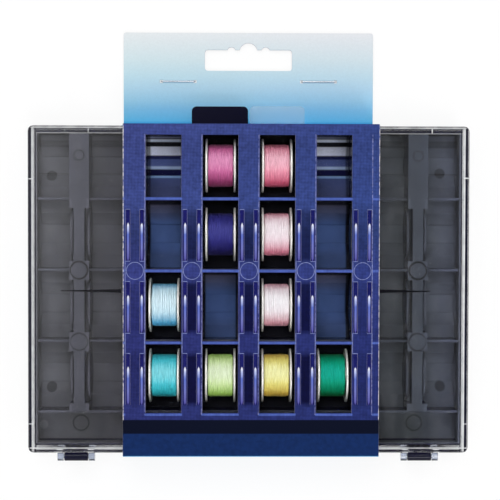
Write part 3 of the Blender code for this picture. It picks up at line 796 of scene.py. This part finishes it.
class Shape:
    """Points and faces that grow into one object."""

    def __init__(self):
        self.points = []
        self.faces = []

    def made(self, name):
        """Return the object, placed in the scene, with all faces outwards."""
        mesh = bpy.data.meshes.new(name)
        mesh.from_pydata([tuple(point) for point in self.points], [], self.faces)
        mesh.validate()
        shape = bmesh.new()
        shape.from_mesh(mesh)
        bmesh.ops.recalc_face_normals(shape, faces=shape.faces)
        shape.to_mesh(mesh)
        shape.free()
        return placed(name, mesh)

    def add(self, mesh):
        """Add a mesh, without the normals that it came with."""
        first = len(self.points)
        self.points += [vertex.co.copy() for vertex in mesh.vertices]
        self.faces += [tuple(first + corner for corner in face.vertices) for face in mesh.polygons]

    def skin(self, rings, closed=False):
        """Add rings of points and the faces between them, with two caps or closed on themselves."""
        first = len(self.points)
        count = len(rings[0])
        for points in rings:
            self.points += points
        spans = len(rings) if closed else len(rings) - 1
        for index in range(spans):
            low = first + index * count
            high = first + (index + 1) % len(rings) * count
            for step in range(count):
                after = (step + 1) % count
                self.faces.append((low + step, high + step, high + after, low + after))
        if not closed:
            last = first + spans * count
            self.faces.append(tuple(range(first, first + count)))
            self.faces.append(tuple(reversed(range(last, last + count))))

    def tube(self, points, radius, sides, across=None):
        """Add a closed tube along a path round X, or in a plane square to a direction."""
        rings = []
        for index, point in enumerate(points):
            along = (points[min(index + 1, len(points) - 1)] - points[max(index - 1, 0)]).normalized()
            side = along.cross(Vector((1.0, 0.0, 0.0))).normalized() if across is None else across
            up = side.cross(along)
            angles = [math.tau * step / sides for step in range(sides)]
            rings.append([
                point + radius * (math.cos(angle) * side + math.sin(angle) * up) for angle in angles
            ])
        self.skin(rings)

    def block(self, low, high):
        """Add a closed box between any two opposite corners."""
        first = len(self.points)
        for z in (low[2], high[2]):
            for x, y in ((low[0], low[1]), (high[0], low[1]), (high[0], high[1]), (low[0], high[1])):
                self.points.append((x, y, z))
        sides = [(0, 3, 2, 1), (4, 5, 6, 7), (0, 1, 5, 4), (1, 2, 6, 5), (2, 3, 7, 6), (3, 0, 4, 7)]
        self.faces += [tuple(first + corner for corner in side) for side in sides]


def copied(node, centre=0.0):
    """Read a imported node's mesh, with its flat faces made whole and its centre brought to X 0."""
    shape = bmesh.new()
    shape.from_mesh(frame["nodes"][node].data)
    bmesh.ops.remove_doubles(shape, verts=shape.verts, dist=weld)
    bmesh.ops.dissolve_limit(shape, angle_limit=flat_angle, verts=shape.verts, edges=shape.edges)
    mesh = bpy.data.meshes.new(node)
    shape.to_mesh(mesh)
    shape.free()
    mesh.transform(Matrix.Translation((-centre, 0.0, 0.0)))
    grown = Shape()
    grown.add(mesh)
    return grown


def cut(item, cutter):
    """Return an object's mesh less a cutter, which is deleted."""
    holes = item.modifiers.new("holes", 'BOOLEAN')
    holes.operation = 'DIFFERENCE'
    holes.object = cutter
    graph = bpy.context.evaluated_depsgraph_get()
    mesh = bpy.data.meshes.new_from_object(item.evaluated_get(graph))
    item.modifiers.clear()
    bpy.data.objects.remove(cutter)
    return mesh


def smooth(mesh, angle):
    """Shade a mesh smooth but for its sharp edges."""
    mesh.shade_smooth()
    mesh.set_sharp_from_angle(angle=angle)


def soften(item, width, segments=2):
    """Round a piece's edges and shade it smooth between them."""
    item.data.shade_smooth()
    bevel = item.modifiers.new("edges", 'BEVEL')
    bevel.width = width
    bevel.segments = segments
    bevel.limit_method = 'ANGLE'
    bevel.angle_limit = round_angle
    bevel.harden_normals = True


def dress(item, body, material, slot, replaced=()):
    """Give a piece its finish and its body, and hide the imported nodes that it stands for; the slot is
    not used.
    """
    item.data.materials.clear()
    item.data.materials.append(material)
    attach(item, body)
    if replaced:
        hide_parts(*replaced)


def moulded(node, name, width, body, material, slot, segments=2):
    """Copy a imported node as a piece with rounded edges."""
    item = copied(node).made(name)
    soften(item, width, segments)
    dress(item, body, material, slot, [node])


# Lips and shelves of the finger recesses in the bars
lip_thickness = 1.1 * mm
lip_top = 17.4 * mm
lip_drop = 6.0 * mm
lip_run = 5.0 * mm
lip_stations = 24
lip_steps = 6
shelf_inner = 1.7 * mm
shelf_outer = 3.0 * mm
shelf_top = 14.2 * mm


def lip(shape, side, start, end):
    """Add a low wall with a round top that closes one finger recess, ends sloped down."""
    outer = side * bar_half
    inner = side * (bar_half - lip_thickness)
    bend = lip_thickness / 2
    foot = floor_top + part_gap
    rings = []
    for index in range(lip_stations + 1):
        y = start + (end - start) * index / lip_stations
        near_end = min(abs(y - start), abs(end - y))
        top = lip_top - lip_drop * max(0.0, 1.0 - near_end / lip_run) ** 2
        ring = [(inner, y, foot), (outer, y, foot)]
        for step in range(lip_steps + 1):
            angle = math.pi * step / lip_steps
            x = (inner + outer) / 2 + side * bend * math.cos(angle)
            ring.append((x, y, top - bend + bend * math.sin(angle)))
        rings.append(ring)
    shape.skin(rings)


def shelf(shape, side, start, end):
    """Add the floor of one finger recess."""
    corner = (side * shelf_inner, start - part_gap, floor_top + part_gap)
    shape.block(corner, (side * shelf_outer, end + part_gap, shelf_top))


def make_tray(finish):
    """The navy moulding: shell, bars with their lips, dividers and seat."""
    navy = ("case", finish, "navy_plastic")
    moulded("base_shell", "tray_shell", shell_round, *navy)
    for index, centre in enumerate(bar_x):
        node = f"column_bar_{index + 1}"
        grown = copied(node, centre)
        for high, low in zip(divider_y, divider_y[1:]):
            for add in (lip, shelf):
                for side in (-1, 1):
                    add(grown, side, low + pad_half_length, high - pad_half_length)
        bar = grown.made(f"bar_{index + 1}")
        bar.data.transform(Matrix.Translation((centre, 0.0, 0.0)))
        soften(bar, bar_round)
        dress(bar, *navy, [node])
    for index in range(1, 5):
        moulded(f"row_divider_{index}", f"divider_{index}", bar_round, *navy)
    moulded("end_seat", "end_seat_ledge", bar_round, *navy)


# Spools: thickness of the sheet, dome of the flanges, their rolled rims, their holes
spool_sides = 72
sheet = 0.45 * mm
dome = 0.30 * mm
dome_root = 0.5 * mm
dome_rim = 0.63 * mm
dome_steps = 6
rim_roll = 0.30 * mm
rim_half = 0.40 * mm
rim_inset = 0.08 * mm
roll_start = 225.0
roll_turn = 27.0
roll_steps = 10
bore_chamfer = 0.3 * mm
flange_holes = 4
flange_hole_sides = 20
flange_hole_radius = 0.95 * mm
flange_hole_circle = 6.4 * mm
spool_crease = math.radians(40.0)
# Metals: colour, roughness, and how metallic
spool_metal = ((0.98, 0.96, 0.90), 0.28, 0.30)
wire_metal = ((0.62, 0.63, 0.66), 0.30, 1.0)

# Windings: the plain core, and the turns, which fall off at the flanges and waver
thread_half_width = 4.7 * mm
core_inset = 0.45 * mm
core_slope = (0.8 * mm, 0.2 * mm)
core_sides = 48
strand_radius = 0.16 * mm
strand_sides = 5
strand_steps = 40
shoulder_run = 1.2 * mm
shoulder_fall = 0.28 * mm
strand_ripple = 0.04 * mm
strand_swell = 0.05 * mm
strand_sink = 0.13 * mm
sway_waves = 1.7
ripple_waves = 2.3
swell_waves = 0.31
# Layers of turns: their pitch, how far they lie above the others and from the flanges, and their sway
layers = ((0.27 * mm, 0.0, 0.0, 0.05 * mm), (1.35 * mm, 0.13 * mm, 0.4 * mm, 0.20 * mm))
# Tilt of the painted highlight on the winding's crown, towards the tab side
highlight_tilt = math.radians(14.0)


def turned(profile, sides):
    """Return the rings of a closed profile of (x, radius) points turned about the X axis."""
    rings = []
    for side in range(sides):
        angle = math.tau * side / sides
        rings.append([(x, radius * math.cos(angle), radius * math.sin(angle)) for x, radius in profile])
    return rings


def spool_profile(half):
    """Return the section of a sheet-metal spool: domed flanges with rolled rims."""
    right = [(half - sheet, core_radius)]
    start = core_radius + dome_root
    stop = flange_radius - dome_rim
    for step in range(dome_steps + 1):
        share = step / dome_steps
        right.append((half - sheet - dome * share ** 2, start + (stop - start) * share))
    roll_x = half - rim_inset - rim_half
    for step in range(roll_steps + 1):
        angle = math.radians(roll_start - roll_turn * step)
        right.append((
            roll_x + rim_half * math.cos(angle),
            flange_radius - rim_roll + rim_roll * math.sin(angle),
        ))
    for step in range(dome_steps + 1):
        share = 1 - step / dome_steps
        right.append((half - dome * share ** 2, start + (stop - start) * share))
    right += [(half, bore_radius + bore_chamfer), (half - bore_chamfer, bore_radius)]
    left = [(-x, radius) for x, radius in reversed(right)]
    return right + left


def make_spool():
    """Return one metal spool's mesh, with small round holes through its flanges."""
    low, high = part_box("spool_magenta")
    half = (high.x - low.x) / 2
    body = Shape()
    body.skin(turned(spool_profile(half), spool_sides), True)
    spool = body.made("spool")
    holes = Shape()
    for step in range(flange_holes):
        angle = math.tau * (step + 0.5) / flange_holes
        bpy.ops.mesh.primitive_cylinder_add(
            vertices=flange_hole_sides, radius=flange_hole_radius, depth=4 * half,
            rotation=(0.0, math.pi / 2, 0.0),
            location=(0.0, flange_hole_circle * math.cos(angle), flange_hole_circle * math.sin(angle)),
        )
        hole = bpy.context.object
        bpy.context.view_layer.update()
        hole.data.transform(hole.matrix_world)
        holes.add(hole.data)
        bpy.data.objects.remove(hole)
    mesh = cut(spool, holes.made("holes"))
    bpy.data.objects.remove(spool)
    smooth(mesh, spool_crease)
    return mesh


def winding(label, seed):
    """Return one bobbin's wound thread: close turns over a plain core, a few lying across."""
    chance = random.Random(seed)
    half = thread_half_width
    edge = thread_radius - core_inset
    run, fall = core_slope
    profile = [
        (-half, core_radius), (-half, edge - fall), (-half + run, edge),
        (half - run, edge), (half, edge - fall), (half, core_radius),
    ]
    wound = Shape()
    wound.skin(turned(profile, core_sides), True)
    for pitch, lift, shift, sway in layers:
        reach = half - strand_radius - shift
        turns = 2 * reach / pitch
        steps = int(turns * strand_steps)
        wander = [chance.uniform(0.0, math.tau) for _ in range(4)]
        points = []
        for index in range(steps + 1):
            turn = turns * index / steps
            angle = math.tau * turn + wander[0]
            x = -reach + 2 * reach * index / steps
            x += sway * math.sin(sway_waves * angle + wander[1])
            shoulder = max(0.0, (abs(x) - (half - shoulder_run)) / shoulder_run)
            radius = thread_radius - strand_radius - shoulder_fall * shoulder ** 2 + lift
            radius += strand_ripple * math.sin(ripple_waves * angle + wander[2])
            radius += strand_swell * math.sin(swell_waves * angle + wander[3]) - strand_sink
            points.append(Vector((x, radius * math.cos(angle), radius * math.sin(angle))))
        wound.tube(points, strand_radius, strand_sides)
    made = wound.made(f"winding_{label}")
    made.data.shade_smooth()
    return made


# Thread colours, painted lighter upwards as a painted highlight: low on the winding's sides, above them,
# and on its crown, and a duller gloss
thread_tones = {
    "magenta": ((0.42, 0.045, 0.19), (0.70, 0.16, 0.39), (0.80, 0.32, 0.54)),
    "rose": ((0.88, 0.15, 0.28), (0.96, 0.38, 0.50), (0.97, 0.56, 0.65)),
    "indigo": ((0.012, 0.008, 0.11), (0.028, 0.026, 0.22), (0.060, 0.060, 0.31), 0.2),
    "light_pink": ((0.97, 0.32, 0.45), (0.96, 0.76, 0.81), (0.96, 0.87, 0.89)),
    "sky_blue": ((0.10, 0.56, 0.90), (0.66, 0.88, 0.97), (0.74, 0.91, 0.97)),
    "pale_pink": ((0.97, 0.47, 0.57), (0.97, 0.86, 0.89), (0.97, 0.94, 0.95)),
    "turquoise": ((0.01, 0.60, 0.68), (0.08, 0.70, 0.79), (0.27, 0.78, 0.84)),
    "lime": ((0.56, 0.90, 0.16), (0.77, 0.94, 0.48), (0.85, 0.94, 0.69)),
    "yellow": ((0.96, 0.66, 0.08), (0.96, 0.87, 0.26), (0.96, 0.94, 0.50)),
    "green": ((0.000, 0.20, 0.06), (0.002, 0.38, 0.21), (0.006, 0.47, 0.34), 0.12),
}


def make_bobbins():
    """Ten metal spools, each with its winding."""
    mesh = make_spool()
    metal = metal_finish("bobbin_metal", *spool_metal)
    for index, (label, tones) in enumerate(thread_tones.items()):
        spool = placed(f"bobbin_{label}", mesh, middle(f"spool_{label}"))
        dress(spool, f"bobbin_{label}", metal, "bobbin_metal", [f"spool_{label}"])
        thread = winding(label, index + 1)
        thread.location = spool.location
        finish = thread_finish(label, *tones)
        dress(thread, f"bobbin_{label}", finish, f"thread_{label}", [f"thread_{label}"])


# Bars that the front panel covers, and its finger slots: bar, side of the bar, ends along Y
panel_bars = [x for x in bar_x if panel_low.x < x - bar_half and x + bar_half < panel_high.x]
panel_slots = [
    (x, side, y - slot_stop, y - slot_start)
    for x in panel_bars for y in divider_y[:3] for side in (-1, 1)
]


def bead(shape, x, low, high):
    """Add a low half-round bead along Y with tapered ends to a shape."""
    bottom = panel_high.z - slot_depth
    height = slot_depth + line_height
    rings = []
    for index in range(bead_stations + 1):
        share = index / bead_stations
        from_end = min(share, 1 - share) * (high - low)
        taper = math.sqrt(max(0.02, min(1.0, from_end / bead_taper)))
        angles = [math.pi * step / bead_steps for step in range(bead_steps + 1)]
        rings.append([(
            x + bead_half * taper * math.cos(angle), low + (high - low) * share,
            bottom + height * taper * math.sin(angle),
        ) for angle in angles])
    shape.skin(rings)


# Heights between which the printed lines lie, across the panel's surface
line_base = panel_high.z - line_height
line_crown = panel_high.z + line_height


def ring(shape, x, y):
    """Add a thin flat ring on top of the front panel to a shape."""
    inner = ring_radius - line_width / 2
    outer = ring_radius + line_width / 2
    rings = []
    for side in range(ring_sides):
        angle = math.tau * side / ring_sides
        rings.append([
            (x + radius * math.cos(angle), y + radius * math.sin(angle), z)
            for radius, z in (
                (inner, line_base), (inner, line_crown), (outer, line_crown), (outer, line_base)
            )
        ])
    shape.skin(rings, True)


def make_card():
    """The three pieces of the display card."""
    header = header_finish()
    for node, name in (("card_back_and_header", "card_back"), ("card_header_front", "card_header")):
        moulded(node, name, card_round, "case", header, "header_card", 1)
    panel = copied("card_front_panel").made("card_panel")
    slots = Shape()
    for x, side, low, high in panel_slots:
        corner = (x + side * slot_inner, low, panel_high.z - slot_depth)
        slots.block(corner, (x + side * slot_outer, high, panel_high.z + slot_depth))
    panel.data = cut(panel, slots.made("slots"))
    soften(panel, panel_round, 1)
    dress(panel, "lid", panel_finish(), "front_card", ["card_front_panel"])


def make_relief():
    """Beads in the slots, and rings and outlines where bars and dividers cross."""
    grown = Shape()
    for x, side, low, high in panel_slots:
        bead(grown, x + side * slot_bead, low, high - bead_delay)
    beads = grown.made("card_beads")
    smooth(beads.data, bead_crease)
    dress(beads, "lid", bead_finish(), "front_card")
    grown = Shape()
    edge = bar_half - line_width
    for x in panel_bars:
        ring(grown, x, divider_y[1])
        for row in range(3):
            start = divider_y[row] - slot_start
            stop = divider_y[row] + row_pitch - slot_stop
            for side in (-1, 1):
                inner = x + side * slot_inner
                outer = x + side * (edge - line_width / 2)
                grown.block((inner, start, line_base), (outer, start + line_width, line_crown))
                if row == 0:
                    continue
                grown.block((inner, stop - line_width, line_base), (outer, stop, line_crown))
                inner = x + side * edge
                grown.block((inner, start, line_base), (inner + side * line_width, stop, line_crown))
    lines = grown.made("card_outlines")
    dress(lines, "lid", line_finish(), "front_card")


# Staples: their bends, and the reach of their folded legs
staple_bend = 0.5 * mm
bend_steps = 5
staple_sides = 10
staple_clinch = 3.6 * mm


def make_staples():
    """Two staples of round wire, their legs folded flat behind the card."""
    finish = metal_finish("staple_wire", *wire_metal)
    for side in ("left", "right"):
        low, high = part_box(f"staple_{side}")
        y = (low.y + high.y) / 2
        left = low.x + staple_wire / 2
        right = high.x - staple_wire / 2
        top = high.z - staple_wire / 2
        bottom = low.z + staple_wire / 2
        corners = [Vector((x, y, z)) for x, z in (
            (left + staple_clinch, bottom), (left, bottom), (left, top),
            (right, top), (right, bottom), (right - staple_clinch, bottom),
        )]
        points = corners[:1]
        for before, corner, after in zip(corners, corners[1:], corners[2:]):
            start = corner + staple_bend * (before - corner).normalized()
            end = corner + staple_bend * (after - corner).normalized()
            for step in range(bend_steps + 1):
                share = step / bend_steps
                points.append(
                    (1 - share) ** 2 * start + 2 * share * (1 - share) * corner + share ** 2 * end
                )
        points.append(corners[-1])
        bent = Shape()
        bent.tube(points, staple_wire / 2, staple_sides, Vector((0.0, 1.0, 0.0)))
        wire = bent.made(f"staple_wire_{side}")
        wire.data.shade_smooth()
        dress(wire, "case", finish, "staple_wire", [f"staple_{side}"])


# Camera, as fitted to the photograph
camera_place = (-7.85 * mm, 15.13 * mm, 589.3 * mm)
camera_turn = (-0.029, -0.0146, 0.0023)
near_clip = 10 * mm
focal_pixels = 1504.7
frame_pixels = 500


def make_camera():
    """A camera straight above the box, square to its lid."""
    data = bpy.data.cameras.new("camera")
    data.lens = focal_pixels / frame_pixels * data.sensor_width
    data.clip_start = near_clip
    made = placed("camera", data, camera_place)
    made.rotation_euler = camera_turn
    bpy.context.scene.camera = made


# Light of the room, from 0 to 1: what falls on pieces, and what the lid mirrors from above
world_diffuse = 0.70
above_left = 0.80
above_left_inner = 0.42
above_right = 0.22
above_low = 0.45
# Where those mirrored parts start, by the direction's X, Y or Z from -1 to 1
far_left = 0.135
above_left_edge = 0.070
above_right_edge = 0.095
edge_blur = 0.010
above_fade = 0.16
above_tilt = (0.90, 0.97)
floor_size = 4.0
floor_grey = (0.8, 0.8, 0.8)
floor_glow = 1.06
glow_share = 0.8


def make_world():
    """A white room, darker straight above, so that the lid shows what lies under it."""
    made = Nodes("room", True)
    bpy.context.scene.world = made.owner
    x, y, z = (made.axis(name, "Generated") for name in "XYZ")
    left = made.times(
        made.slope(x, -far_left, -above_left_edge, above_left, above_left_inner),
        made.slope(x, -above_left_edge, edge_blur - above_left_edge, 1.0, 0.0),
    )
    right = made.slope(x, above_right_edge, above_right_edge + edge_blur, 0.0, above_right)
    down = made.slope(y, -above_fade, 0.0, above_low, 1.0)
    aside = made.slope(z, *above_tilt, 1.0, 0.0)
    mirrored = made.most(aside, made.times(made.most(left, right), down))
    glossy = made.times(made.rays("Glossy", "Transmission"), mirrored)
    lit = made.times(made.rays("Diffuse"), world_diffuse)
    total = made.plus(made.rays("Camera"), glossy, lit)
    made.finish(made.put("Background", Strength=made.maths('MINIMUM', total, 1.0)))


def make_floor():
    """A white floor that keeps a faint shadow of the box."""
    bpy.ops.mesh.primitive_plane_add(size=floor_size)
    floor = bpy.context.object
    floor.name = "floor"
    made = Nodes("floor")
    floor.data.materials.append(made.mixed(
        made.times(made.rays("Camera", "Glossy", "Transmission"), glow_share),
        made.put("BsdfDiffuse", Color=floor_grey),
        made.put("Emission", Color=(1.0, 1.0, 1.0), Strength=floor_glow),
    ))


def make_lamp(name, place, size, power):
    """Add a soft square lamp that looks at the middle of the floor."""
    data = bpy.data.lights.new(name, 'AREA')
    data.shape = 'SQUARE'
    data.size = size
    data.energy = power
    made = placed(name, data, place)
    made.rotation_euler = (-made.location).to_track_quat('-Z', 'Y').to_euler()


tray = tray_finish()
make_camera()
make_world()
make_floor()
make_lamp("key", (-0.15, 0.64, 1.45), 0.7, 8.5)
make_lamp("fill", (0.30, -0.75, 1.35), 0.5, 5.0)
make_tray(tray)
make_bobbins()
moulded("lid_shell", "clear_lid", shell_round, "lid", lid_finish(), "clear_lid")
make_card()
make_relief()
make_staples()

scene = bpy.context.scene
scene.view_settings.view_transform = 'Standard'
